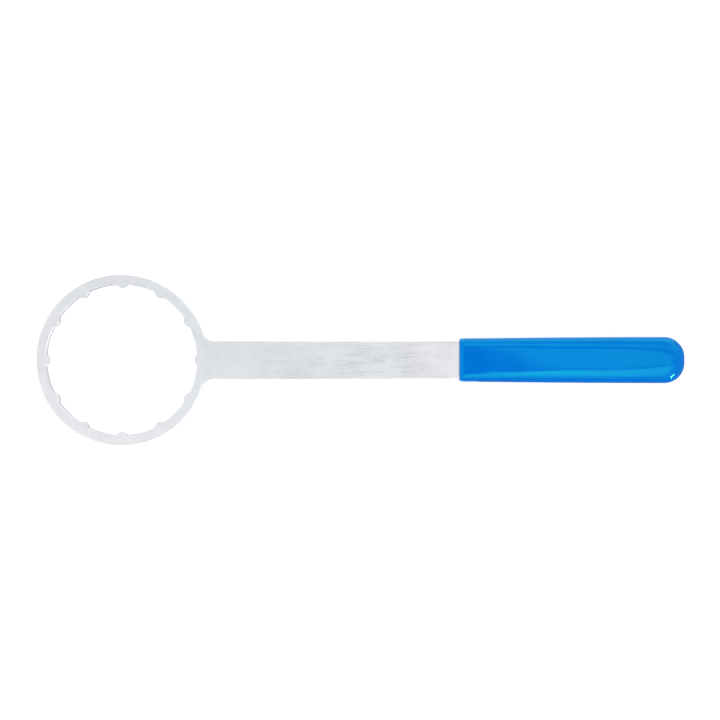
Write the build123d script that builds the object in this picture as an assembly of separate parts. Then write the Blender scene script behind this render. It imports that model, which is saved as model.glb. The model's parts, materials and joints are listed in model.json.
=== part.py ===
from build123d import *
import os

# Cup filter wrench: a ring with a lobed bore, cut in one piece with its flat bar,
# and a soft vinyl grip dipped over the bar's far end.
#
# The origin is the ring's centre, halfway through the plate. +X runs along the bar
# to the grip, and +Z is the ring's axis. All sizes are in millimetres.

# Plate
plate_thickness = 6.0
bore_diameter = 99.0
ring_wall = 6.5
bar_width = 25.0
bar_length = 311.0  # from the ring's outside to the bar's far end
neck_radius = 8.0
bar_corner_radius = 10.5
edge_break = 0.4

# Lobes in the bore, which drop into the flutes round a filter cup
lobe_count = 12
lobe_height = 2.0
lobe_nose_radius = 4.0
lobe_root_radius = 1.2

# Dipped grip
dip_length = 145.0  # from the bar's far end back to the dip line
coat_on_faces = 2.2
coat_at_mouth = 1.9
coat_at_tip = 2.7
coat_over_end = 3.2
collar_length = 3.0  # straight stretch next to the dip line
shoulder_softness = 2.1  # how much rounder the coat's edges are than an even skin's
mouth_radius = 1.2

# Shape of the grip's swell, as the share of its length that curves outwards
swell_share = 0.2

# A round can take up no more than this share of the width or wall it sits on
bar_corner_share = 0.45
shoulder_share = 0.9
mouth_share = 0.8

# Places and rounds that follow from the sizes above
bore_radius = bore_diameter / 2
ring_radius = bore_radius + ring_wall
bar_end = ring_radius + bar_length
bar_corner = min(bar_corner_radius, bar_corner_share * bar_width)
dip_line = bar_end - dip_length
coat_end = bar_end + coat_over_end
coat_half_thickness = plate_thickness / 2 + coat_on_faces
coat_corner = bar_corner + coat_at_tip
coat_shoulder = min(coat_at_mouth + shoulder_softness, shoulder_share * coat_half_thickness)
coat_lip = min(mouth_radius, mouth_share * coat_at_mouth)


def lobed_bore():
    """Round hole whose wall swells inwards into evenly spaced, blended lobes."""
    nose_centre = bore_radius - lobe_height + lobe_nose_radius
    noses = PolarLocations(nose_centre, lobe_count) * Circle(lobe_nose_radius)
    hole = Circle(bore_radius) - noses
    return fillet(hole.vertices(), lobe_root_radius)


def plate_outline():
    """Ring and bar as one outline, with blended necks and a round-cornered end."""
    bar = Pos(bar_end / 2, 0) * Rectangle(bar_end, bar_width)
    bar = fillet(bar.vertices().group_by(Axis.X)[-1], bar_corner)
    outline = Circle(ring_radius) + bar
    necks = outline.vertices().group_by(Axis.X)[0]
    return fillet(necks, neck_radius) - lobed_bore()


def wrench_body():
    """The plate, extruded about its mid-plane, with every cut edge lightly broken."""
    plate = extrude(plate_outline(), plate_thickness / 2, both=True)
    flat_faces = plate.faces().filter_by(Axis.Z)
    return chamfer(flat_faces.edges(), edge_break)


def grip_plan():
    """The grip from above: a straight collar, a gentle swell and a round-cornered end."""
    half_at_mouth = bar_width / 2 + coat_at_mouth
    half_at_tip = bar_width / 2 + coat_at_tip
    collar_end = Vector(dip_line + collar_length, half_at_mouth)
    widest = Vector(coat_end - coat_corner, half_at_tip)
    turn = collar_end + (widest - collar_end) * swell_share
    with BuildSketch() as plan:
        with BuildLine():
            Polyline((dip_line, 0), (dip_line, half_at_mouth), collar_end)
            TangentArc(collar_end, turn, tangent=(1, 0))
            TangentArc(widest, turn, tangent=(-1, 0))
            corner = TangentArc(widest, (coat_end, half_at_tip - coat_corner), tangent=(1, 0))
            Line(corner @ 1, (coat_end, 0))
            mirror(about=Plane.XZ)
        make_face()
    return plan.sketch


def grip_sleeve(body):
    """The coat: its plan extruded, rolled over at the edges and shut round the bar."""
    coat = extrude(grip_plan(), coat_half_thickness, both=True)
    long_edges = [face.edges().sort_by(Axis.X)[1:] for face in coat.faces().filter_by(Axis.Z)]
    coat = fillet(long_edges[0] + long_edges[1], coat_shoulder)
    mouth = coat.faces().sort_by(Axis.X)[0]
    coat = fillet(mouth.edges(), coat_lip)
    return coat - body


body = wrench_body()
pieces = {"wrench_body": body, "grip_sleeve": grip_sleeve(body)}

os.makedirs("parts", exist_ok=True)
for node, piece in pieces.items():
    export_step(piece, f"parts/{node}.step")
    print(node, round(piece.volume), "cubic millimetres")
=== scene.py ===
"""Looks for the cup filter wrench: a satin steel plate and a glossy dipped vinyl grip."""

import json
import math

import bmesh
import bpy
from mathutils import Matrix, Vector


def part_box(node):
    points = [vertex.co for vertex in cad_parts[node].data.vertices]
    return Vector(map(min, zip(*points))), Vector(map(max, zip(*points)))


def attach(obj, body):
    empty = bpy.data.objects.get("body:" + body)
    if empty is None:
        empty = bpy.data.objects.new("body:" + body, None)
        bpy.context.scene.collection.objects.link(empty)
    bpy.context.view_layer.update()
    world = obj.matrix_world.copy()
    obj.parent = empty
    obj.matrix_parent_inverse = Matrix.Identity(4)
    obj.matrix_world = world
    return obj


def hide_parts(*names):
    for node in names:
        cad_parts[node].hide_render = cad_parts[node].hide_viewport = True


bl_info = {
    "name": "Cup filter wrench",
    "version": (1, 0, 0),
    "blender": (4, 5, 0),
    "location": "View3D > Sidebar > Wrench",
    "description": "Builds the steel plate, the dipped grip and the studio of a cup filter wrench",
    "category": "Object",
}

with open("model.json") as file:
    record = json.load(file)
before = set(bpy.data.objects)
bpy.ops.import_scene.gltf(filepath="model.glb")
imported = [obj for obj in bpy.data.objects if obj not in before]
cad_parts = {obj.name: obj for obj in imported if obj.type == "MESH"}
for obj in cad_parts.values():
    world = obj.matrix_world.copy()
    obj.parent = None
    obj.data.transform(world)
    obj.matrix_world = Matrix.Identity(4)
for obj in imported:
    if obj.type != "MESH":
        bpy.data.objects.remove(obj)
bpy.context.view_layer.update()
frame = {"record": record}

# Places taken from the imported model, in metres
plate_low, plate_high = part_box("wrench_body")
grip_low, grip_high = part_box("grip_sleeve")
socket = next(m for m in frame["record"]["mounts"] if m["name"] == "cup_socket")
finishes = {m["slot"]: m for m in frame["record"]["materials"]}


# Sizes and colours that a user would change

class PlateSettings(bpy.types.PropertyGroup):
    ring_radius: bpy.props.FloatProperty(
        name="Ring radius", description="From the ring's centre to its outside",
        default=plate_high.y, unit="LENGTH")
    bore_radius: bpy.props.FloatProperty(
        name="Bore radius", description="From the ring's centre to the wall between lobes",
        default=socket["dims"]["r_mm"] / 1000, unit="LENGTH")
    lobe_count: bpy.props.IntProperty(
        name="Lobes", description="Rounded lobes spaced evenly round the bore",
        default=socket["dims"]["count"], min=3)
    lobe_height: bpy.props.FloatProperty(
        name="Lobe height", description="How far a lobe stands in from the bore's wall",
        default=0.002, unit="LENGTH")
    lobe_nose: bpy.props.FloatProperty(
        name="Lobe nose radius", description="Radius of a lobe's rounded nose",
        default=0.004, unit="LENGTH")
    lobe_root: bpy.props.FloatProperty(
        name="Lobe root radius", description="Radius that blends a lobe into the wall",
        default=0.0012, unit="LENGTH")
    bar_width: bpy.props.FloatProperty(
        name="Bar width", description="Width of the flat bar",
        default=0.025, unit="LENGTH")
    neck_radius: bpy.props.FloatProperty(
        name="Neck radius", description="Radius where the bar runs into the ring",
        default=0.008, unit="LENGTH")
    end_corner: bpy.props.FloatProperty(
        name="End corner radius", description="Corner radius of the bar's far end, under the grip",
        default=0.0105, unit="LENGTH")
    edge_round: bpy.props.FloatProperty(
        name="Edge round", description="How far the cut edges are rounded over",
        default=0.00045, unit="LENGTH")
    colour: bpy.props.FloatVectorProperty(
        name="Steel colour", description="Base colour of the steel",
        default=(0.69, 0.715, 0.745), subtype="COLOR", min=0, max=1)


class GripSettings(bpy.types.PropertyGroup):
    mouth_coat: bpy.props.FloatProperty(
        name="Coat at the mouth", description="Coat on the bar's sides at the dip line",
        default=0.0019, unit="LENGTH")
    collar_length: bpy.props.FloatProperty(
        name="Collar length", description="Straight stretch next to the dip line",
        default=0.003, unit="LENGTH")
    swell_share: bpy.props.FloatProperty(
        name="Swell share", description="Share of the grip's length that curves outwards",
        default=0.2, min=0.05, max=0.9, subtype="FACTOR")
    end_corner: bpy.props.FloatProperty(
        name="End corner radius", description="Corner radius of the closed end, from above",
        default=0.0132, unit="LENGTH")
    crown_at_mouth: bpy.props.FloatProperty(
        name="Crown at the mouth", description="How far in from its edge the coat curves there",
        default=0.008, unit="LENGTH")
    crown_in_middle: bpy.props.FloatProperty(
        name="Crown in the middle", description="How far in from its edge the coat curves there",
        default=0.0102, unit="LENGTH")
    crown_at_tip: bpy.props.FloatProperty(
        name="Crown at the tip", description="How far in from its edge the coat curves there",
        default=0.0152, unit="LENGTH")
    crown_power: bpy.props.FloatProperty(
        name="Crown squareness", description="2 is an ellipse, higher is squarer",
        default=2.9, min=2.5, max=6)
    lip_length: bpy.props.FloatProperty(
        name="Lip length", description="How far from the dip line the coat's edge rolls over",
        default=0.0009, unit="LENGTH")
    lip_height: bpy.props.FloatProperty(
        name="Lip height", description="How deep the coat's edge rolls over",
        default=0.0003, unit="LENGTH")
    thinning: bpy.props.FloatProperty(
        name="Thinning at the mouth", description="Share by which the coat thins to the dip line",
        default=0.07, min=0, max=0.08, subtype="FACTOR")
    colour: bpy.props.FloatVectorProperty(
        name="Vinyl colour", description="Base colour of the dipped vinyl",
        default=(0.0, 0.15, 0.68), subtype="COLOR", min=0, max=1)


class StudioSettings(bpy.types.PropertyGroup):
    camera_height: bpy.props.FloatProperty(
        name="Camera height", description="Height of the camera over the plate's middle",
        default=0.892, unit="LENGTH")
    camera_along: bpy.props.FloatProperty(
        name="Camera place", description="How far along the bar the camera stands",
        default=0.1567, unit="LENGTH")
    lens: bpy.props.FloatProperty(
        name="Lens", description="Focal length on a 36 mm sensor", default=67.74)
    fill: bpy.props.FloatProperty(
        name="Fill light", description="Strength of the even light from all round",
        default=0.6, min=0)
    key: bpy.props.FloatProperty(
        name="Lamp level", description="Scales every lamp together", default=1.0, min=0)
    floor_colour: bpy.props.FloatVectorProperty(
        name="Floor colour", description="Colour of the floor",
        default=(0.9, 0.9, 0.9), subtype="COLOR", min=0, max=1)


# Mesh helpers

def spin_arc(bm, start, centre, angle, steps):
    """Draws an arc in the plate's plane from a vertex and returns its last vertex."""
    made = bmesh.ops.spin(
        bm, geom=[start], cent=centre, axis=(0, 0, 1), angle=angle, steps=steps,
        use_merge=False, use_duplicate=False)
    return next(g for g in made["geom_last"] if isinstance(g, bmesh.types.BMVert))


def draw_line(bm, start, end, steps):
    """Draws a straight run of edges from a vertex and returns its last vertex."""
    step = (Vector(end) - start.co) / steps
    for _ in range(steps):
        made = bmesh.ops.extrude_vert_indiv(bm, verts=[start])
        start = made["verts"][0]
        bmesh.ops.translate(bm, verts=[start], vec=step)
    return start


def weld(bm, distance=1e-7):
    bmesh.ops.remove_doubles(bm, verts=bm.verts[:], dist=distance)


def is_flat(face):
    return abs(face.normal.z) > 0.99


def finish_piece(bm, name, node, material):
    """Turns a bmesh into a piece that rides on the body and stands for a CAD node."""
    bmesh.ops.recalc_face_normals(bm, faces=bm.faces[:])
    for face in bm.faces:
        face.smooth = True
    mesh = bpy.data.meshes.new(name)
    bm.to_mesh(mesh)
    bm.free()
    mesh.materials.append(material)
    piece = bpy.data.objects.new(name, mesh)
    bpy.context.scene.collection.objects.link(piece)
    normals = piece.modifiers.new("flat_faces", "WEIGHTED_NORMAL")
    normals.mode = "FACE_AREA_WITH_ANGLE"
    normals.weight = 50
    normals.keep_sharp = True
    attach(piece, "root")
    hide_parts(node)
    return piece


# Node helpers

def put(tree, kind, inputs=None, **settings):
    """Adds a node. An input is given a value, or another node's output to read."""
    node = tree.nodes.new(kind)
    for name, value in settings.items():
        setattr(node, name, value)
    for name, value in (inputs or {}).items():
        if isinstance(value, bpy.types.NodeSocket):
            tree.links.new(value, node.inputs[name])
        else:
            node.inputs[name].default_value = value
    return node


def maths(tree, operation, first, second=0.0, clamp=False):
    node = put(tree, "ShaderNodeMath", {0: first, 1: second}, operation=operation,
               use_clamp=clamp)
    return node.outputs[0]


def ramp(tree, value, low, high, to_low=0.0, to_high=1.0, smooth=False):
    node = put(tree, "ShaderNodeMapRange", {
        "Value": value, "From Min": low, "From Max": high,
        "To Min": to_low, "To Max": to_high})
    node.interpolation_type = "SMOOTHSTEP" if smooth else "LINEAR"
    return node.outputs["Result"]


def blend_colours(tree, share, first, second, mode="MIX"):
    node = put(tree, "ShaderNodeMix", data_type="RGBA", blend_type=mode)
    for socket, value in ((node.inputs[0], share), (node.inputs[6], first),
                          (node.inputs[7], second)):
        if isinstance(value, bpy.types.NodeSocket):
            tree.links.new(value, socket)
        else:
            socket.default_value = value
    return node.outputs[2]


def blend_values(tree, share, first, second):
    node = put(tree, "ShaderNodeMix", data_type="FLOAT")
    for socket, value in ((node.inputs[0], share), (node.inputs[2], first),
                          (node.inputs[3], second)):
        if isinstance(value, bpy.types.NodeSocket):
            tree.links.new(value, socket)
        else:
            socket.default_value = value
    return node.outputs[0]


def opaque(colour):
    return (*colour, 1.0)


def shade(colour, factor):
    return tuple(min(1.0, c * factor) for c in colour)


def new_group(name, sockets):
    """Makes a node group from (direction, kind, name, default) rows."""
    group = bpy.data.node_groups.new(name, "ShaderNodeTree")
    for direction, kind, label, default in sockets:
        made = group.interface.new_socket(label, in_out=direction, socket_type=kind)
        if default is not None:
            made.default_value = default
    return group, group.nodes.new("NodeGroupInput"), group.nodes.new("NodeGroupOutput")


def mottle_group():
    """Cloudy patches in two sizes, from 0 to 1."""
    group, enter, leave = new_group("cloudy_patches", [
        ("INPUT", "NodeSocketVector", "Vector", None),
        ("INPUT", "NodeSocketFloat", "Patches per metre", 60.0),
        ("INPUT", "NodeSocketFloat", "Fine share", 0.4),
        ("OUTPUT", "NodeSocketFloat", "Patches", None)])
    size = enter.outputs["Patches per metre"]
    broad = put(group, "ShaderNodeTexNoise", {
        "Vector": enter.outputs["Vector"], "Scale": size, "Detail": 2.0, "Roughness": 0.5})
    fine = put(group, "ShaderNodeTexNoise", {
        "Vector": enter.outputs["Vector"], "Scale": maths(group, "MULTIPLY", size, 5.3),
        "Detail": 3.0, "Roughness": 0.6})
    both = blend_values(group, enter.outputs["Fine share"], broad.outputs[0], fine.outputs[0])
    group.links.new(ramp(group, both, 0.32, 0.68), leave.inputs["Patches"])
    return group


def scratch_group():
    """Thin scratches along the vector's first axis, from 0 to 1."""
    group, enter, leave = new_group("fine_scratches", [
        ("INPUT", "NodeSocketVector", "Vector", None),
        ("INPUT", "NodeSocketFloat", "Turn", 0.0),
        ("INPUT", "NodeSocketFloat", "Scratches per metre", 900.0),
        ("INPUT", "NodeSocketFloat", "Cut", 0.66),
        ("OUTPUT", "NodeSocketFloat", "Scratches", None)])
    turned = put(group, "ShaderNodeVectorRotate", {
        "Vector": enter.outputs["Vector"], "Angle": enter.outputs["Turn"]},
        rotation_type="Z_AXIS")
    drawn = put(group, "ShaderNodeVectorMath", {
        0: turned.outputs[0], 1: (0.04, 1.0, 0.6)}, operation="MULTIPLY")
    lines = put(group, "ShaderNodeTexNoise", {
        "Vector": drawn.outputs[0], "Scale": enter.outputs["Scratches per metre"],
        "Detail": 1.0, "Roughness": 0.5})
    cut = enter.outputs["Cut"]
    group.links.new(
        ramp(group, lines.outputs[0], cut, maths(group, "ADD", cut, 0.05)),
        leave.inputs["Scratches"])
    return group


def put_group(tree, name, maker, inputs):
    """Adds a shared group, made on its first use, and gives or links its inputs."""
    group = bpy.data.node_groups.get(name) or maker()
    node = put(tree, "ShaderNodeGroup", node_tree=group)
    for label, value in inputs.items():
        if isinstance(value, bpy.types.NodeSocket):
            tree.links.new(value, node.inputs[label])
        else:
            node.inputs[label].default_value = value
    return node


def patches(tree, vector, per_metre, fine_share):
    node = put_group(tree, "cloudy_patches", mottle_group, {
        "Vector": vector, "Patches per metre": per_metre, "Fine share": fine_share})
    return node.outputs["Patches"]


def scratches(tree, vector, turn, per_metre, cut):
    node = put_group(tree, "fine_scratches", scratch_group, {
        "Vector": vector, "Turn": turn, "Scratches per metre": per_metre, "Cut": cut})
    return node.outputs["Scratches"]


def new_material(name):
    material = bpy.data.materials.new(name)
    material.use_nodes = True
    tree = material.node_tree
    shader = tree.nodes["Principled BSDF"]
    return material, tree, shader


# Materials

def satin_steel(settings):
    """Satin ground steel: round the ring in arcs, along the bar in lines, dark cut walls deepened
    with painted shade, painted shade on the broken edges and towards the grip.
    """
    material, tree, shader = new_material("satin_steel")
    place = put(tree, "ShaderNodeTexCoord").outputs["Object"]
    axes = put(tree, "ShaderNodeSeparateXYZ", {0: place})
    flat = put(tree, "ShaderNodeCombineXYZ", {0: axes.outputs[0], 1: axes.outputs[1]})
    from_centre = put(tree, "ShaderNodeVectorMath", {0: flat.outputs[0]},
                      operation="LENGTH").outputs["Value"]
    heading = put(tree, "ShaderNodeSeparateXYZ", {0: put(
        tree, "ShaderNodeVectorMath", {0: flat.outputs[0]}, operation="NORMALIZE").outputs[0]})

    # Grinding lines: across the radius on the ring, across the width on the bar
    round_ring = put(tree, "ShaderNodeCombineXYZ", {
        0: maths(tree, "MULTIPLY", heading.outputs[0], 0.006),
        1: from_centre,
        2: maths(tree, "MULTIPLY", heading.outputs[1], 0.006)})
    along_bar = put(tree, "ShaderNodeCombineXYZ", {
        0: maths(tree, "MULTIPLY", axes.outputs[0], 0.05),
        1: axes.outputs[1],
        2: axes.outputs[2]})
    on_bar = ramp(tree, axes.outputs[0], 0.05, 0.068, smooth=True)
    grain = []
    for vector in (round_ring, along_bar):
        lines = put(tree, "ShaderNodeTexNoise", {
            "Vector": vector.outputs[0], "Scale": 900.0, "Detail": 3.0, "Roughness": 0.65})
        grain.append(lines.outputs[0])
    grain = blend_values(tree, on_bar, *grain)

    # Walls and broken edges, told by which way the surface faces
    facing = put(tree, "ShaderNodeSeparateXYZ", {
        0: put(tree, "ShaderNodeNewGeometry").outputs["Normal"]})
    upright = maths(tree, "ABSOLUTE", facing.outputs[2])
    wall = ramp(tree, upright, 0.75, 0.3, smooth=True)
    edge = ramp(tree, upright, 0.995, 0.9)

    # Colour: cloudy patches, faint scratches, painted shade towards the grip and on the broken
    # edges, cut walls darker, partly as painted shade
    cloud = patches(tree, place, 42.0, 0.35)
    tone = blend_colours(tree, cloud, opaque(shade(settings.colour, 0.94)),
                         opaque(shade(settings.colour, 1.04)))
    hue = patches(tree, put(tree, "ShaderNodeVectorMath", {0: place, 1: (0.31, 0.17, 0.0)},
                            operation="ADD").outputs[0], 70.0, 0.2)
    drift = ramp(tree, maths(tree, "ADD", axes.outputs[0], axes.outputs[1]), 0.06, -0.05,
                 0.15, 0.75, smooth=True)
    tone = blend_colours(tree, maths(tree, "MULTIPLY", maths(tree, "ADD", hue, 0.5), drift),
                         tone, (0.70, 0.70, 0.72, 1.0))
    tone = blend_colours(tree, ramp(tree, grain, 0.35, 0.65, 0.0, 0.04), tone,
                         (0.45, 0.47, 0.5, 1.0))
    marks = maths(tree, "MAXIMUM",
                  scratches(tree, place, 1.05, 620.0, 0.67),
                  scratches(tree, place, -0.4, 520.0, 0.69))
    tone = blend_colours(tree, maths(tree, "MULTIPLY", marks, 0.07), tone,
                         (0.4, 0.42, 0.46, 1.0))
    tone = blend_colours(tree, maths(tree, "MULTIPLY", on_bar, 0.1), tone,
                         (0.42, 0.44, 0.47, 1.0))
    # Painted shade: the bar's colour darkens towards the grip's mouth
    painted_shade_near_grip = ramp(tree, axes.outputs[0], 0.165, 0.222, 0.0, 0.36, smooth=True)
    tone = blend_colours(tree, painted_shade_near_grip, tone, (0.37, 0.33, 0.345, 1.0))
    # Painted shade: the rounded-over broken edges are darkened
    tone = blend_colours(tree, maths(tree, "MULTIPLY", edge, 0.25), tone,
                         (0.42, 0.44, 0.48, 1.0))
    upright_lines = put(tree, "ShaderNodeTexNoise", {
        "Vector": put(tree, "ShaderNodeVectorMath", {0: place, 1: (1.0, 1.0, 0.06)},
                      operation="MULTIPLY").outputs[0],
        "Scale": 1800.0, "Detail": 2.0, "Roughness": 0.6}).outputs[0]
    # The cut walls: their own striated tone, made darker as painted shade
    wall_tone_and_shade = blend_colours(tree, ramp(tree, upright_lines, 0.35, 0.65),
                              (0.35, 0.36, 0.39, 1.0), (0.52, 0.53, 0.57, 1.0))
    tone = blend_colours(tree, wall, tone, wall_tone_and_shade)
    tree.links.new(tone, shader.inputs["Base Color"])

    # Roughness and relief
    rough = maths(tree, "ADD", ramp(tree, grain, 0.3, 0.7, 0.24, 0.32),
                  maths(tree, "MULTIPLY", cloud, 0.04))
    rough = maths(tree, "ADD", rough, maths(tree, "MULTIPLY", wall, 0.15))
    tree.links.new(rough, shader.inputs["Roughness"])
    relief = maths(tree, "SUBTRACT", blend_values(tree, wall, grain, upright_lines),
                   maths(tree, "MULTIPLY", marks, 0.3))
    bump = put(tree, "ShaderNodeBump", {
        "Strength": 0.05, "Distance": 0.00002, "Height": relief})
    tree.links.new(bump.outputs[0], shader.inputs["Normal"])
    shader.inputs["Metallic"].default_value = 1.0
    return material


def dipped_vinyl(settings):
    """Glossy dipped vinyl with slow dip waves, faint clouding, handling scratches and a painted
    highlight round the mouth.
    """
    material, tree, shader = new_material("dipped_vinyl")
    place = put(tree, "ShaderNodeTexCoord").outputs["Object"]
    cloud = patches(tree, place, 30.0, 0.25)
    tone = blend_colours(tree, cloud, opaque(shade(settings.colour, 0.97)),
                         opaque(shade(settings.colour, 1.03)))
    along = put(tree, "ShaderNodeSeparateXYZ", {0: place}).outputs[0]
    # Painted highlight: a lighter band round the mouth, where the coat's edge rolls over
    painted_mouth_highlight = ramp(tree, along, grip_low.x + 0.0015, grip_low.x + 0.0045, 0.75, 0.0, smooth=True)
    tone = blend_colours(tree, painted_mouth_highlight, tone, (0.0, 0.205, 0.72, 1.0))
    tree.links.new(tone, shader.inputs["Base Color"])
    marks = scratches(tree, place, 0.25, 500.0, 0.68)
    rough = maths(tree, "ADD", ramp(tree, cloud, 0.0, 1.0, 0.04, 0.07),
                  maths(tree, "MULTIPLY", marks, 0.12))
    tree.links.new(rough, shader.inputs["Roughness"])
    waves = put(tree, "ShaderNodeTexNoise", {
        "Vector": put(tree, "ShaderNodeVectorMath", {0: place, 1: (0.35, 1.0, 1.0)},
                      operation="MULTIPLY").outputs[0],
        "Scale": 90.0, "Detail": 1.0, "Roughness": 0.4})
    peel = put(tree, "ShaderNodeTexNoise", {
        "Vector": place, "Scale": 600.0, "Detail": 2.0, "Roughness": 0.5})
    height = maths(tree, "ADD", waves.outputs[0], maths(tree, "MULTIPLY", peel.outputs[0], 0.06))
    bump = put(tree, "ShaderNodeBump", {
        "Strength": 0.15, "Distance": 0.00005, "Height": height})
    tree.links.new(bump.outputs[0], shader.inputs["Normal"])
    shader.inputs["IOR"].default_value = 1.6
    shader.inputs["Specular Tint"].default_value = (0.03, 1.0, 0.3, 1.0)
    return material


# Steel plate

def bore_loop(bm, s):
    """The bore's wall as a closed loop: half a lobe's period, mirrored and repeated."""
    nose_at = s.bore_radius - s.lobe_height + s.lobe_nose
    root_at = s.bore_radius - s.lobe_root
    apart = s.lobe_nose + s.lobe_root
    root_angle = math.acos(
        (root_at ** 2 + nose_at ** 2 - apart ** 2) / (2 * root_at * nose_at))
    root_centre = Vector((root_at * math.cos(root_angle), root_at * math.sin(root_angle), 0))
    nose_centre = Vector((nose_at, 0, 0))
    towards_root = root_centre - nose_centre
    nose_sweep = math.pi - math.atan2(towards_root.y, towards_root.x)
    root_sweep = root_angle + nose_sweep
    half_period = math.pi / s.lobe_count

    vertex = bm.verts.new((nose_at - s.lobe_nose, 0, 0))
    vertex = spin_arc(bm, vertex, nose_centre, -nose_sweep, 8)
    vertex = spin_arc(bm, vertex, root_centre, root_sweep, 6)
    spin_arc(bm, vertex, (0, 0, 0), half_period - root_angle, 10)
    bmesh.ops.mirror(bm, geom=bm.verts[:] + bm.edges[:], axis="Y", merge_dist=1e-7)
    bmesh.ops.spin(
        bm, geom=bm.verts[:] + bm.edges[:], cent=(0, 0, 0), axis=(0, 0, 1),
        angle=2 * math.pi * (s.lobe_count - 1) / s.lobe_count, steps=s.lobe_count - 1,
        use_duplicate=True, use_merge=False)
    weld(bm, 1e-6)
    return bm.edges[:]


def plate_mesh(s):
    """Ring, necks and bar in one: bridged from bore to outline, thickened and rounded."""
    across = 24
    along_neck = 18
    bm = bmesh.new()
    bore = bore_loop(bm, s)
    neck_at = s.ring_radius + s.neck_radius
    neck_y = s.bar_width / 2 + s.neck_radius
    neck_x = math.sqrt(neck_at ** 2 - neck_y ** 2)
    neck_angle = math.asin(neck_y / neck_at)
    neck_sweep = math.pi / 2 - neck_angle
    round_ring = len(bore) - across - 2 * along_neck

    # The ring's outline, from the bar's upper side round to its lower side
    inner = set(bm.edges)
    vertex = bm.verts.new((neck_x, s.bar_width / 2, 0))
    vertex = spin_arc(bm, vertex, (neck_x, neck_y, 0), -neck_sweep, along_neck)
    vertex = spin_arc(bm, vertex, (0, 0, 0), 2 * (math.pi - neck_angle), round_ring)
    vertex = spin_arc(bm, vertex, (neck_x, -neck_y, 0), -neck_sweep, along_neck)
    before = set(bm.edges)
    draw_line(bm, vertex, (neck_x, s.bar_width / 2, 0), across)
    cross = [e for e in bm.edges if e not in before]
    weld(bm, 1e-6)
    outline = [e for e in bm.edges if e not in inner]
    bmesh.ops.bridge_loops(bm, edges=bore + outline)

    # The bar, drawn out of the ring's cross line, and its round-cornered end
    cross = [e for e in bm.edges if all(abs(v.co.x - neck_x) < 1e-6 for v in e.verts)]
    corner_x = plate_high.x - s.end_corner
    corner_y = s.bar_width / 2 - s.end_corner
    stations = [0.085, 0.11, 0.14, 0.17, 0.2, 0.23, 0.27, 0.31, corner_x - 0.004]
    last = cross
    for station in stations:
        made = bmesh.ops.extrude_edge_only(bm, edges=last)["geom"]
        verts = [g for g in made if isinstance(g, bmesh.types.BMVert)]
        bmesh.ops.translate(bm, verts=verts, vec=(station - verts[0].co.x, 0, 0))
        # the line ahead is what lies wholly at the new station
        last = [g for g in made if isinstance(g, bmesh.types.BMEdge)
                and all(abs(v.co.x - station) < 1e-7 for v in g.verts)]
    before = set(bm.edges)
    vertex = bm.verts.new((corner_x, s.bar_width / 2, 0))
    vertex = spin_arc(bm, vertex, (corner_x, corner_y, 0), -math.pi / 2, 10)
    vertex = draw_line(bm, vertex, (plate_high.x, -corner_y, 0), across - 20)
    spin_arc(bm, vertex, (corner_x, -corner_y, 0), -math.pi / 2, 10)
    end = [e for e in bm.edges if e not in before]
    bmesh.ops.bridge_loops(bm, edges=last + end)

    # Thickness, then every cut edge rounded over
    bmesh.ops.translate(bm, verts=bm.verts[:], vec=(0, 0, plate_low.z))
    made = bmesh.ops.extrude_face_region(bm, geom=bm.faces[:])["geom"]
    bmesh.ops.translate(bm, verts=[g for g in made if isinstance(g, bmesh.types.BMVert)],
                        vec=(0, 0, plate_high.z - plate_low.z))
    bmesh.ops.recalc_face_normals(bm, faces=bm.faces[:])
    rims = [e for e in bm.edges if len(e.link_faces) == 2
            and is_flat(e.link_faces[0]) != is_flat(e.link_faces[1])]
    bmesh.ops.bevel(
        bm, geom=rims, offset=s.edge_round, offset_type="OFFSET", affect="EDGES",
        segments=3, profile=0.5, material=-1, clamp_overlap=True, loop_slide=True)
    return bm


class WRENCH_OT_steel_plate(bpy.types.Operator):
    """Build the ring with its lobed bore and the flat bar as one satin steel plate"""
    bl_idname = "wrench.steel_plate"
    bl_label = "Steel plate"

    def execute(self, context):
        settings = context.scene.wrench_plate
        finish_piece(plate_mesh(settings), "steel_plate", "wrench_body",
                     satin_steel(settings))
        return {"FINISHED"}


# Dipped grip

def grip_outline(bm, g, run_out):
    """Half of the grip from above, mirrored, with its mouth end run out past the dip line."""
    half_bar = 0.0125
    half_mouth = half_bar + g.mouth_coat
    half_tip = grip_high.y
    corner_x = grip_high.x - g.end_corner
    corner_y = half_tip - g.end_corner
    collar_x = grip_low.x + g.collar_length
    run, rise = corner_x - collar_x, half_tip - half_mouth

    def bend(share):
        """Radius and sweep of the arc over that share of the flank."""
        length, height = run * share, rise * share
        radius = (length ** 2 + height ** 2) / (2 * height)
        return radius, math.asin(length / radius)

    out_radius, out_sweep = bend(g.swell_share)
    in_radius, in_sweep = bend(1 - g.swell_share)
    vertex = bm.verts.new((grip_high.x, 0, 0))
    vertex = draw_line(bm, vertex, (grip_high.x, corner_y, 0), 3)
    vertex = spin_arc(bm, vertex, (corner_x, corner_y, 0), math.pi / 2, 22)
    vertex = spin_arc(bm, vertex, (corner_x, half_tip - in_radius, 0), in_sweep, 40)
    vertex = spin_arc(bm, vertex, (collar_x, half_mouth + out_radius, 0), -out_sweep, 12)
    vertex = draw_line(bm, vertex, (grip_low.x - run_out, half_mouth, 0), 1)
    draw_line(bm, vertex, (grip_low.x - run_out, 0, 0), 1)
    bmesh.ops.mirror(bm, geom=bm.verts[:] + bm.edges[:], axis="Y", merge_dist=1e-7)
    weld(bm, 1e-7)


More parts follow.
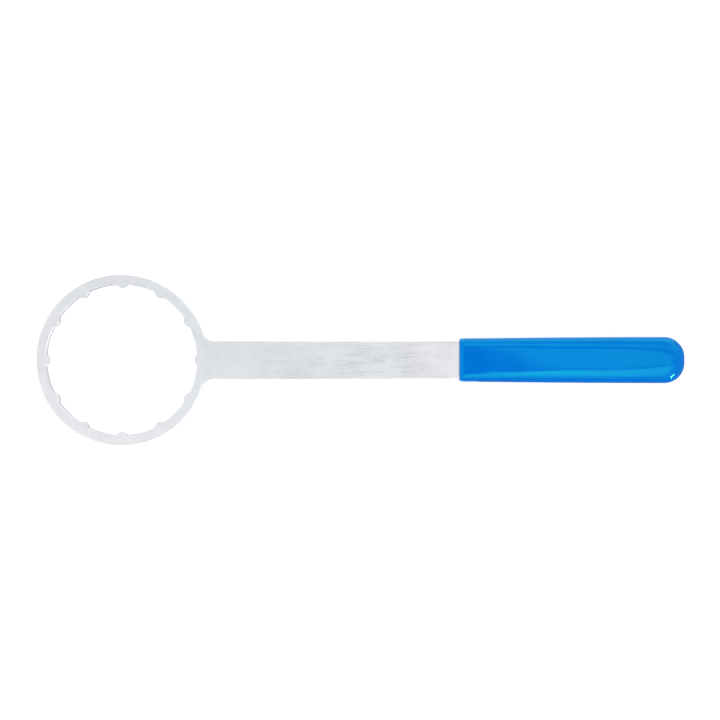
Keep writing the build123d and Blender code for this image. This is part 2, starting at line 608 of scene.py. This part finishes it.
def crown_height(g, depth, along):
    """Height of the coat at a depth in from its edge, rounder from the mouth to the tip."""
    middle = min(1.0, max(0.0, (along - 0.25) / 0.05))
    middle = middle * middle * (3 - 2 * middle)
    tip = min(1.0, max(0.0, (along - 0.29) / (grip_high.x - 0.006 - 0.29))) ** 4
    width = g.crown_at_mouth + middle * (g.crown_in_middle - g.crown_at_mouth) \
        + tip * (g.crown_at_tip - g.crown_in_middle)
    power = g.crown_power - 0.4 * tip
    flat = 1 - min(depth, width) / width
    return grip_high.z * (1 - flat ** power) ** (1 / power)


def grip_mesh(g, plate):
    """The dipped coat: a crowned skin that rolls over at its edges, open round the bar."""
    rings = 26
    deepest = g.end_corner - 0.0008
    bm = bmesh.new()
    grip_outline(bm, g, deepest + 0.004)
    centre = bmesh.ops.edgeloop_fill(bm, edges=bm.edges[:])["faces"][0]
    depth = 0.0
    for ring in range(1, rings + 1):
        next_depth = deepest * (ring / rings) ** 1.8
        bmesh.ops.inset_region(bm, faces=[centre], thickness=next_depth - depth,
                               use_even_offset=True, use_boundary=True)
        depth = next_depth
        for vertex in centre.verts:
            rise = crown_height(g, depth, vertex.co.x) - vertex.co.z
            bmesh.ops.translate(bm, verts=[vertex], vec=(0, 0, rise))

    # The flat crown is cut across between facing vertices
    rim = centre.verts[:]
    tip_x = max(v.co.x for v in rim)
    upper = [v for v in rim if v.co.y > 1e-6 and v.co.x < tip_x - 1e-6]
    for vertex in upper:
        facing = min(rim, key=lambda v: (v.co.x - vertex.co.x) ** 2
                     + (v.co.y + vertex.co.y) ** 2)
        if facing is not vertex and not bm.edges.get((vertex, facing)):
            bmesh.ops.connect_verts(bm, verts=[vertex, facing])

    # Underside, then cuts near the mouth, where the coat thins towards the dip line
    bmesh.ops.mirror(bm, geom=bm.verts[:] + bm.edges[:] + bm.faces[:], axis="Z",
                     merge_dist=1e-7)
    thins_over = 0.0045
    for part in (1.0, 0.85, 0.7, 0.55, 0.4):
        bmesh.ops.bisect_plane(
            bm, geom=bm.verts[:] + bm.edges[:] + bm.faces[:],
            plane_co=(grip_low.x + part * thins_over, 0, 0), plane_no=(-1, 0, 0))
    bmesh.ops.bisect_plane(
        bm, geom=bm.verts[:] + bm.edges[:] + bm.faces[:],
        plane_co=(grip_low.x + g.lip_length, 0, 0), plane_no=(-1, 0, 0), clear_outer=True)
    for vertex in bm.verts:
        near = 1 - (vertex.co.x - grip_low.x) / thins_over
        if near > 0:
            bmesh.ops.scale(bm, verts=[vertex], vec=(1, 1 - 0.65 * g.thinning * near ** 3,
                                                     1 - g.thinning * near ** 2))
    weld(bm, 1e-7)
    open_edges = [e for e in bm.edges if e.is_boundary]
    mouth = bmesh.ops.edgeloop_fill(bm, edges=open_edges)["faces"][0]
    mouth.normal_update()
    roll_lip(bm, mouth, g.lip_length, g.lip_height)

    # The hollow that the bar fills, joined to the mouth
    rim = mouth.edges[:]
    bmesh.ops.delete(bm, geom=[mouth], context="FACES_ONLY")
    hollow = bar_hollow(bm, plate)
    bmesh.ops.triangle_fill(bm, edges=rim + hollow, use_beauty=True, normal=(-1, 0, 0))
    return bm


def roll_lip(bm, mouth, length, height):
    """Rounds the coat's edge over towards the dip line, in steps of even inset."""
    steps = 6
    inset, forward = 0.0, 0.0
    for step in range(1, steps + 1):
        angle = math.pi / 2 * step / steps
        next_inset, next_forward = height * (1 - math.cos(angle)), length * math.sin(angle)
        bmesh.ops.inset_region(bm, faces=[mouth], thickness=next_inset - inset,
                               use_even_offset=True, use_boundary=True)
        bmesh.ops.translate(bm, verts=mouth.verts[:], vec=(forward - next_forward, 0, 0))
        inset, forward = next_inset, next_forward


def bar_hollow(bm, plate):
    """The bar's own shape from the dip line to its end, open at the dip line."""
    known = set(bm.edges)
    corner_x = plate_high.x - plate.end_corner
    corner_y = plate.bar_width / 2 - plate.end_corner
    vertex = bm.verts.new((grip_low.x, plate.bar_width / 2, plate_low.z))
    first = vertex
    vertex = draw_line(bm, vertex, (corner_x, plate.bar_width / 2, plate_low.z), 4)
    vertex = spin_arc(bm, vertex, (corner_x, corner_y, plate_low.z), -math.pi / 2, 10)
    vertex = draw_line(bm, vertex, (plate_high.x, -corner_y, plate_low.z), 4)
    vertex = spin_arc(bm, vertex, (corner_x, -corner_y, plate_low.z), -math.pi / 2, 10)
    vertex = draw_line(bm, vertex, (grip_low.x, -plate.bar_width / 2, plate_low.z), 4)
    draw_line(bm, vertex, first.co.copy(), 12)
    made = [e for e in bm.edges if e not in known]
    bmesh.ops.remove_doubles(bm, verts=list({v for e in made for v in e.verts}), dist=1e-7)
    made = [e for e in bm.edges if e not in known]
    under = bmesh.ops.edgeloop_fill(bm, edges=made)["faces"]
    raised = bmesh.ops.extrude_face_region(bm, geom=under)["geom"]
    bmesh.ops.translate(bm, verts=[g for g in raised if isinstance(g, bmesh.types.BMVert)],
                        vec=(0, 0, plate_high.z - plate_low.z))
    at_mouth = [f for f in bm.faces if all(abs(v.co.x - grip_low.x) < 1e-7 for v in f.verts)
                and all(e not in known for e in f.edges)]
    bmesh.ops.delete(bm, geom=at_mouth, context="FACES")
    made = [e for e in bm.edges if e not in known]
    return [e for e in made if e.is_boundary]


class WRENCH_OT_vinyl_grip(bpy.types.Operator):
    """Build the glossy coat that is dipped over the bar's far end"""
    bl_idname = "wrench.vinyl_grip"
    bl_label = "Vinyl grip"

    def execute(self, context):
        settings = context.scene.wrench_grip
        finish_piece(grip_mesh(settings, context.scene.wrench_plate), "vinyl_grip",
                     "grip_sleeve", dipped_vinyl(settings))
        return {"FINISHED"}


# Studio

def seen_plainly(tree):
    """1 for what the camera, gloss and glass see, and 0 for light that falls on things."""
    path = put(tree, "ShaderNodeLightPath")
    return maths(tree, "MAXIMUM", path.outputs["Is Camera Ray"],
                 maths(tree, "MAXIMUM", path.outputs["Is Glossy Ray"],
                       path.outputs["Is Transmission Ray"]))


def studio_world(settings):
    """Even light from all round, which the camera, gloss and glass see as plain white."""
    world = bpy.data.worlds.new("white_surroundings")
    world.use_nodes = True
    tree = world.node_tree
    background = tree.nodes["Background"]
    background.inputs["Color"].default_value = (1, 1, 1, 1)
    tree.links.new(blend_values(tree, seen_plainly(tree), settings.fill, 1.0),
                   background.inputs["Strength"])
    bpy.context.scene.world = world


def add_stage(name, bm, material):
    """Turns a bmesh into a thing of the studio, which isn't part of the wrench."""
    mesh = bpy.data.meshes.new(name)
    bm.to_mesh(mesh)
    bm.free()
    mesh.materials.append(material)
    thing = bpy.data.objects.new(name, mesh)
    bpy.context.scene.collection.objects.link(thing)
    return thing


def lay_on_floor(bm, lift):
    """Tilts a level mesh on to the floor, which touches the wrench's two lowest edges."""
    far_edge = Vector((plate_low.x, 0, plate_low.z))
    mouth = Vector((grip_low.x, 0, grip_low.z))
    slope = math.atan2(far_edge.z - mouth.z, mouth.x - far_edge.x)
    bmesh.ops.rotate(bm, verts=bm.verts[:], cent=far_edge,
                     matrix=Matrix.Rotation(slope, 3, "Y"))
    bmesh.ops.translate(bm, verts=bm.verts[:], vec=(0, 0, lift))


def studio_floor(settings):
    """A pale floor that carries the wrench at its two lowest edges."""
    material, tree, shader = new_material("pale_floor")
    place = put(tree, "ShaderNodeTexCoord").outputs["Object"]
    cloud = patches(tree, place, 9.0, 0.3)
    colour = tuple(settings.floor_colour)
    tree.links.new(
        blend_colours(tree, cloud, opaque(shade(colour, 0.99)), opaque(shade(colour, 1.01))),
        shader.inputs["Base Color"])
    shader.inputs["Roughness"].default_value = 0.8
    glow = put(tree, "ShaderNodeEmission", {"Color": (1, 1, 1, 1)})
    tree.links.new(maths(tree, "MULTIPLY", seen_plainly(tree), 0.45), glow.inputs["Strength"])
    both = put(tree, "ShaderNodeAddShader", {0: shader.outputs[0], 1: glow.outputs[0]})
    tree.links.new(both.outputs[0], tree.nodes["Material Output"].inputs["Surface"])
    bm = bmesh.new()
    bmesh.ops.create_grid(bm, x_segments=8, y_segments=8, size=3.0,
                          matrix=Matrix.Translation((0, 0, plate_low.z)))
    lay_on_floor(bm, -0.0002)
    add_stage("pale_floor", bm, material)


def studio_lamp(name, place, aim, size, power):
    """A soft rectangular lamp that looks at a point, and that gloss doesn't mirror."""
    lamp = bpy.data.lights.new(name, "AREA")
    lamp.shape = "RECTANGLE"
    lamp.size, lamp.size_y = size
    lamp.energy = power
    holder = bpy.data.objects.new(name, lamp)
    holder.location = place
    holder.rotation_euler = (Vector(aim) - Vector(place)).to_track_quat("-Z", "Y").to_euler()
    holder.visible_glossy = False
    bpy.context.scene.collection.objects.link(holder)


def strength_profile(tree, distance, stops):
    """Strength by distance from the wrench's middle line, from (distance, strength) stops."""
    reach = stops[-1][0]
    peak = max(strength for _, strength in stops)
    gradient = put(tree, "ShaderNodeValToRGB", {"Fac": maths(tree, "DIVIDE", distance, reach)})
    points = gradient.color_ramp.elements
    while len(points) < len(stops):
        points.new(1.0)
    for point, (place, strength) in zip(points, stops):
        point.position = place / reach
        point.color = opaque((strength / peak,) * 3)
    return maths(tree, "MULTIPLY", gradient.outputs[0], peak)


def studio_card(name, bm, bands, colour=(1, 1, 1), lean=0.0):
    """A card that only gloss sees. Its bands are (place along the wrench, stops), and each
    runs smoothly into the next. With a lean they run askew. One number makes it even."""
    material = bpy.data.materials.new(name)
    material.use_nodes = True
    tree = material.node_tree
    tree.nodes.remove(tree.nodes["Principled BSDF"])
    glow = put(tree, "ShaderNodeEmission", {"Color": opaque(colour)})
    tree.links.new(glow.outputs[0], tree.nodes["Material Output"].inputs["Surface"])
    if isinstance(bands, list):
        axes = put(tree, "ShaderNodeSeparateXYZ", {
            0: put(tree, "ShaderNodeTexCoord").outputs["Object"]}).outputs
        along = maths(tree, "ADD", axes[0], maths(tree, "MULTIPLY", axes[1], lean))
        across = maths(tree, "ABSOLUTE", axes[1])
        strength = strength_profile(tree, across, bands[0][1])
        for (near, _), (far, stops) in zip(bands, bands[1:]):
            strength = blend_values(tree, ramp(tree, along, near, far, smooth=True),
                                    strength, strength_profile(tree, across, stops))
        tree.links.new(strength, glow.inputs["Strength"])
    else:
        glow.inputs["Strength"].default_value = bands
    card = add_stage(name, bm, material)
    for ray in ("camera", "diffuse", "transmission", "volume_scatter", "shadow"):
        setattr(card, "visible_" + ray, False)


def flat_sheet(size, segments=1):
    """A level sheet about the origin."""
    bm = bmesh.new()
    bmesh.ops.create_grid(bm, x_segments=segments, y_segments=segments, size=0.5)
    bmesh.ops.scale(bm, verts=bm.verts[:], vec=(size[0], size[1], 1))
    return bm


def move(bm, place):
    bmesh.ops.translate(bm, verts=bm.verts[:], vec=place)
    return bm


def turn(bm, angle, axis):
    bmesh.ops.rotate(bm, verts=bm.verts[:], cent=(0, 0, 0),
                     matrix=Matrix.Rotation(angle, 3, axis))
    return bm


def level_card(low, high, height):
    """A flat card overhead, from its low to its high corner."""
    return move(flat_sheet((high[0] - low[0], high[1] - low[1])),
                ((low[0] + high[0]) / 2, (low[1] + high[1]) / 2, height))


def side_card(low, high, across):
    """A standing card beside the wrench, from its low to its high corner."""
    return move(turn(flat_sheet((high[0] - low[0], high[1] - low[1])), math.pi / 2, "X"),
                ((low[0] + high[0]) / 2, across, (low[1] + high[1]) / 2))


def end_card(low, high, along):
    """A standing card beyond the ring, from its low to its high corner."""
    return move(turn(flat_sheet((high[1] - low[1], high[0] - low[0])), math.pi / 2, "Y"),
                (along, (low[0] + high[0]) / 2, (low[1] + high[1]) / 2))


def oval_card(centre, size, height):
    """An oval card overhead."""
    bm = bmesh.new()
    bmesh.ops.create_circle(bm, cap_ends=True, segments=48, radius=0.5)
    bmesh.ops.scale(bm, verts=bm.verts[:], vec=(size[0], size[1], 1))
    return move(bm, (centre[0], centre[1], height))


def aimed_card(size, place, aim):
    """A card that faces a point on the wrench."""
    bm = flat_sheet(size)
    facing = (Vector(aim) - Vector(place)).to_track_quat("-Z", "Y").to_matrix()
    bmesh.ops.rotate(bm, verts=bm.verts[:], cent=(0, 0, 0), matrix=facing)
    return move(bm, place)


def floor_card(low, high):
    """A card that lies on the floor, from its low to its high corner."""
    bm = level_card(low, high, plate_low.z)
    lay_on_floor(bm, -0.0001)
    return bm


def studio_glow():
    """The bright and dark shapes that the glossy grip mirrors, as in a lit white room."""
    studio_card("overhead_glow", level_card((0.33, -0.02), (1.1, 0.07), 0.96), [
        (0.35, [(0, 0.66), (0.07, 0.66)]), (0.415, [(0, 2.2), (0.07, 2.2)]),
        (0.62, [(0, 2.2), (0.07, 2.2)]), (0.76, [(0, 1.5), (0.07, 1.5)]),
        (1.1, [(0, 1.0), (0.07, 1.0)])], lean=2.0)
    studio_card("upper_glow", level_card((0.2, 0.07), (1.6, 1.3), 0.96), [
        (0.315, [(0.07, 0.45), (0.12, 0.6), (0.154, 1.0), (0.238, 2.1), (0.352, 2.9),
                 (0.42, 2.6), (0.513, 2.0), (0.758, 1.7), (1.3, 1.6)]),
        (0.348, [(0.07, 0.7), (0.12, 0.8), (0.154, 1.2), (0.238, 2.1), (0.352, 3.1),
                 (0.42, 2.6), (0.513, 1.8), (0.758, 1.45), (1.3, 1.8)]),
        (0.40, [(0.07, 1.2), (0.09, 0.7), (0.15, 0.55), (0.196, 1.0), (0.25, 2.8), (0.34, 3.0),
                (0.45, 1.7), (0.62, 0.95), (0.78, 1.2), (0.95, 2.2), (1.3, 2.7)]),
        (0.52, [(0.07, 1.9), (0.09, 1.4), (0.14, 0.8), (0.2, 1.6), (0.28, 2.6), (0.34, 1.8),
                (0.38, 1.5), (0.45, 1.4), (0.62, 1.05), (0.78, 1.2), (0.95, 2.2), (1.3, 2.7)]),
        (0.64, [(0.07, 1.5), (0.09, 0.9), (0.13, 0.6), (0.2, 1.4), (0.34, 1.6),
                (0.5, 1.2), (0.7, 1.1), (0.95, 2.2), (1.3, 2.7)]),
        (1.0, [(0.07, 1.0), (0.2, 1.3), (0.34, 1.9), (0.6, 2.1), (1.3, 2.6)])])
    studio_card("upper_wall", side_card((-0.1, 0.15), (1.6, 0.96), 1.3), 3.1)
    studio_card("lower_glow", level_card((0.2, -1.3), (1.1, -0.02), 0.96), [
        (0.315, [(0.02, 1.0), (0.09, 1.0), (0.154, 1.6), (0.238, 3.0), (0.352, 3.8),
                 (0.513, 3.6), (0.758, 2.6), (1.2, 1.1), (1.3, 1.0)]),
        (0.348, [(0.02, 0.7), (0.04, 0.9), (0.06, 1.3), (0.08, 3.0), (0.11, 4.3), (0.154, 4.7),
                 (0.2, 3.9), (0.238, 3.4), (0.352, 3.5), (0.513, 3.2), (0.758, 2.2), (1.2, 1.05)]),
        (0.40, [(0.02, 1.0), (0.033, 0.6), (0.05, 2.2), (0.08, 4.6), (0.12, 4.8), (0.27, 4.7),
                (0.36, 3.6), (0.48, 2.4), (0.64, 2.0), (0.86, 0.8), (1.3, 0.8)]),
        (0.51, [(0.02, 0.75), (0.03, 0.9), (0.05, 2.7), (0.08, 3.9), (0.12, 4.0), (0.27, 4.0),
                (0.36, 3.3), (0.48, 2.3), (0.64, 1.7), (0.86, 0.85), (1.3, 0.8)]),
        (0.64, [(0.02, 0.75), (0.03, 0.9), (0.05, 2.5), (0.08, 3.5), (0.12, 3.6), (0.27, 3.6),
                (0.36, 3.0), (0.48, 2.2), (0.64, 1.6), (0.86, 0.85), (1.3, 0.8)]),
        (0.76, [(0.02, 0.9), (0.05, 1.6), (0.08, 2.5), (0.12, 2.6), (0.3, 2.0), (0.6, 1.5),
                (1.3, 0.8)]),
        (1.1, [(0.02, 0.9), (0.12, 1.2), (0.6, 1.2), (1.3, 0.7)])])
    studio_card("lower_wall", side_card((-0.1, 0.05), (1.2, 0.96), -1.3), 0.3)
    studio_card("deep_patch", oval_card((0.23, -0.04), (0.2, 0.4), 0.95), 0.45)
    studio_card("ring_glow", level_card((-0.6, -0.6), (-0.10, -0.14), 0.96), 1.4)
    studio_card("end_wall", end_card((-0.6, 0.2), (0.6, 1.2), -1.2), 3.0)
    studio_card("spark", aimed_card((0.28, 0.08), (1.10, -0.70, 0.85), (0.362, -0.010, 0)),
                180.0)
    # Painted shade: dark sheets that only gloss sees, lying on the floor under and beside the grip
    # and beyond its tip, where the floor is in the grip's shade
    studio_card("painted_shade_beside_grip", floor_card((0.235, -0.06), (0.42, 0)), 0.15)
    studio_card("painted_shade_beyond_tip", floor_card((0.371, 0), (0.42, 0.012)), 0.15)


class WRENCH_OT_studio(bpy.types.Operator):
    """Set up the camera, the soft lamps, the surroundings and the pale floor"""
    bl_idname = "wrench.studio"
    bl_label = "Studio"

    def execute(self, context):
        settings = context.scene.wrench_studio
        scene = context.scene
        scene.view_settings.view_transform = "Standard"
        camera = bpy.data.cameras.new("straight_down")
        camera.lens = settings.lens
        camera.sensor_width = 36.0
        camera.dof.use_dof = False
        holder = bpy.data.objects.new("straight_down", camera)
        holder.location = (settings.camera_along, 0, settings.camera_height)
        scene.collection.objects.link(holder)
        scene.camera = holder
        studio_world(settings)
        studio_floor(settings)
        level = settings.key
        studio_lamp("upper_softbox", (0.2, 1.3, 1.1), (0.16, 0, 0), (1.4, 0.6), 10 * level)
        studio_lamp("lower_softbox", (0.3, -1.3, 1.1), (0.16, 0, 0), (1.4, 0.6), 13 * level)
        studio_glow()
        return {"FINISHED"}


class WRENCH_PT_build(bpy.types.Panel):
    """Lists the wrench's pieces and studio with their sizes and colours"""
    bl_idname = "WRENCH_PT_build"
    bl_label = "Cup filter wrench"
    bl_space_type = "VIEW_3D"
    bl_region_type = "UI"
    bl_category = "Wrench"

    def draw(self, context):
        for operator, group in (("wrench.studio", "wrench_studio"),
                                ("wrench.steel_plate", "wrench_plate"),
                                ("wrench.vinyl_grip", "wrench_grip")):
            box = self.layout.box()
            box.operator(operator)
            settings = getattr(context.scene, group)
            for name in settings.__annotations__:
                box.prop(settings, name)


GROUPS = {
    "wrench_plate": PlateSettings,
    "wrench_grip": GripSettings,
    "wrench_studio": StudioSettings,
}
CLASSES = (*GROUPS.values(), WRENCH_OT_studio, WRENCH_OT_steel_plate,
           WRENCH_OT_vinyl_grip, WRENCH_PT_build)


def register():
    for cls in CLASSES:
        bpy.utils.register_class(cls)
    for name, group in GROUPS.items():
        setattr(bpy.types.Scene, name, bpy.props.PointerProperty(type=group))


def unregister():
    for name in GROUPS:
        delattr(bpy.types.Scene, name)
    for cls in reversed(CLASSES):
        bpy.utils.unregister_class(cls)


def main():
    register()
    bpy.ops.wrench.studio()
    bpy.ops.wrench.steel_plate()
    bpy.ops.wrench.vinyl_grip()


if __name__ == "__main__":
    main()
